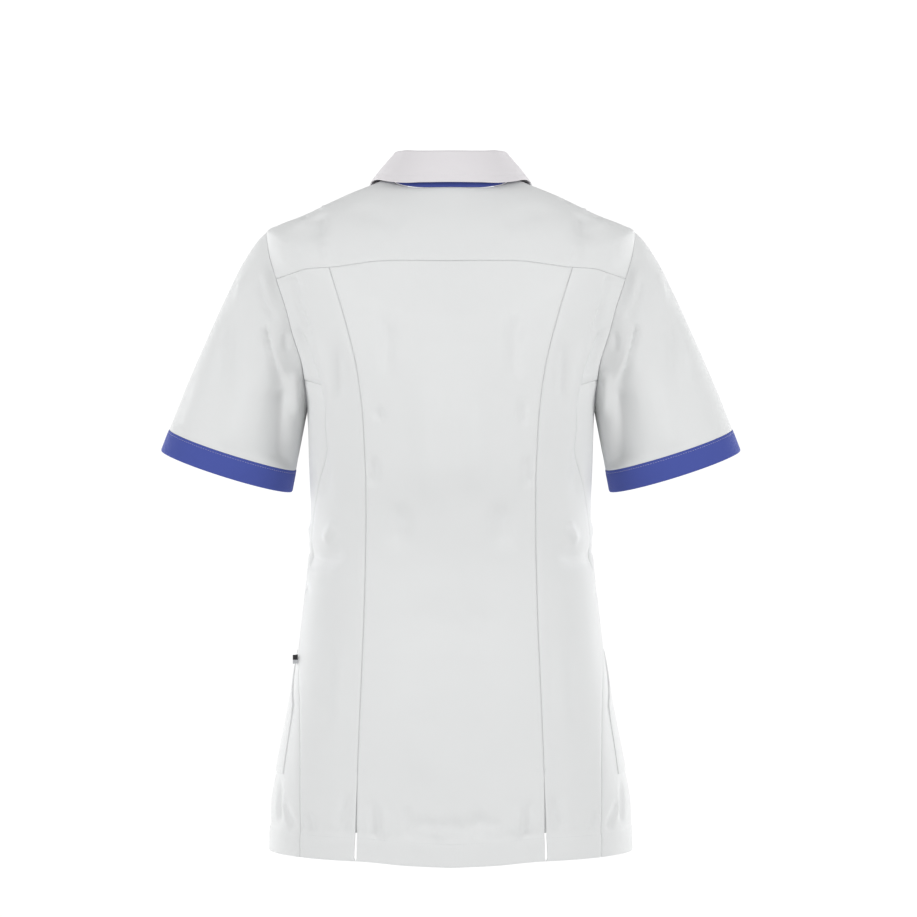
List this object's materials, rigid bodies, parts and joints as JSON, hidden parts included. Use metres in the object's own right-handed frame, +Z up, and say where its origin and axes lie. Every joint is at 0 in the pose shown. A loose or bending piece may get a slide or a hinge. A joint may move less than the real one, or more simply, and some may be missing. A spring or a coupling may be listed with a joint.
{
  "type": "healthcare tunic jacket",
  "caption": "Short-sleeved fitted healthcare tunic in its worn shape, with a two-colour collar, contrast cuffs, back yoke, princess seams and back vents.",
  "frame": {"origin": "midway between the two side neck points, where the wearer's shoulders carry the tunic", "axes": "+Z up, -Y towards the tunic's front, +Y towards its back, +X towards the wearer's left"},
  "size_m": [0.6268, 0.2877, 0.7492],
  "materials": {
    "white_cloth": "matt plain-woven polyester and cotton",
    "blue_cloth": "matt plain-woven polyester and cotton",
    "button": "polished polyester",
    "tab_tape": "woven tape"
  },
  "bodies": {
    "root": {"back_yoke": "white_cloth", "back_centre": "white_cloth", "back_side_left": "white_cloth", "back_side_right": "white_cloth", "front_left": "white_cloth", "front_right": "white_cloth", "front_band": "white_cloth", "hip_pocket_left": "white_cloth", "hip_pocket_right": "white_cloth", "sleeve_left": "white_cloth", "sleeve_right": "white_cloth", "cuff_band_left": "blue_cloth", "cuff_band_right": "blue_cloth", "top_collar": "white_cloth", "collar_stand": "blue_cloth", "button_1": "button", "button_2": "button", "button_3": "button", "button_4": "button", "button_5": "button", "button_6": "button", "side_tab": "tab_tape"}
  },
  "joints": []
}
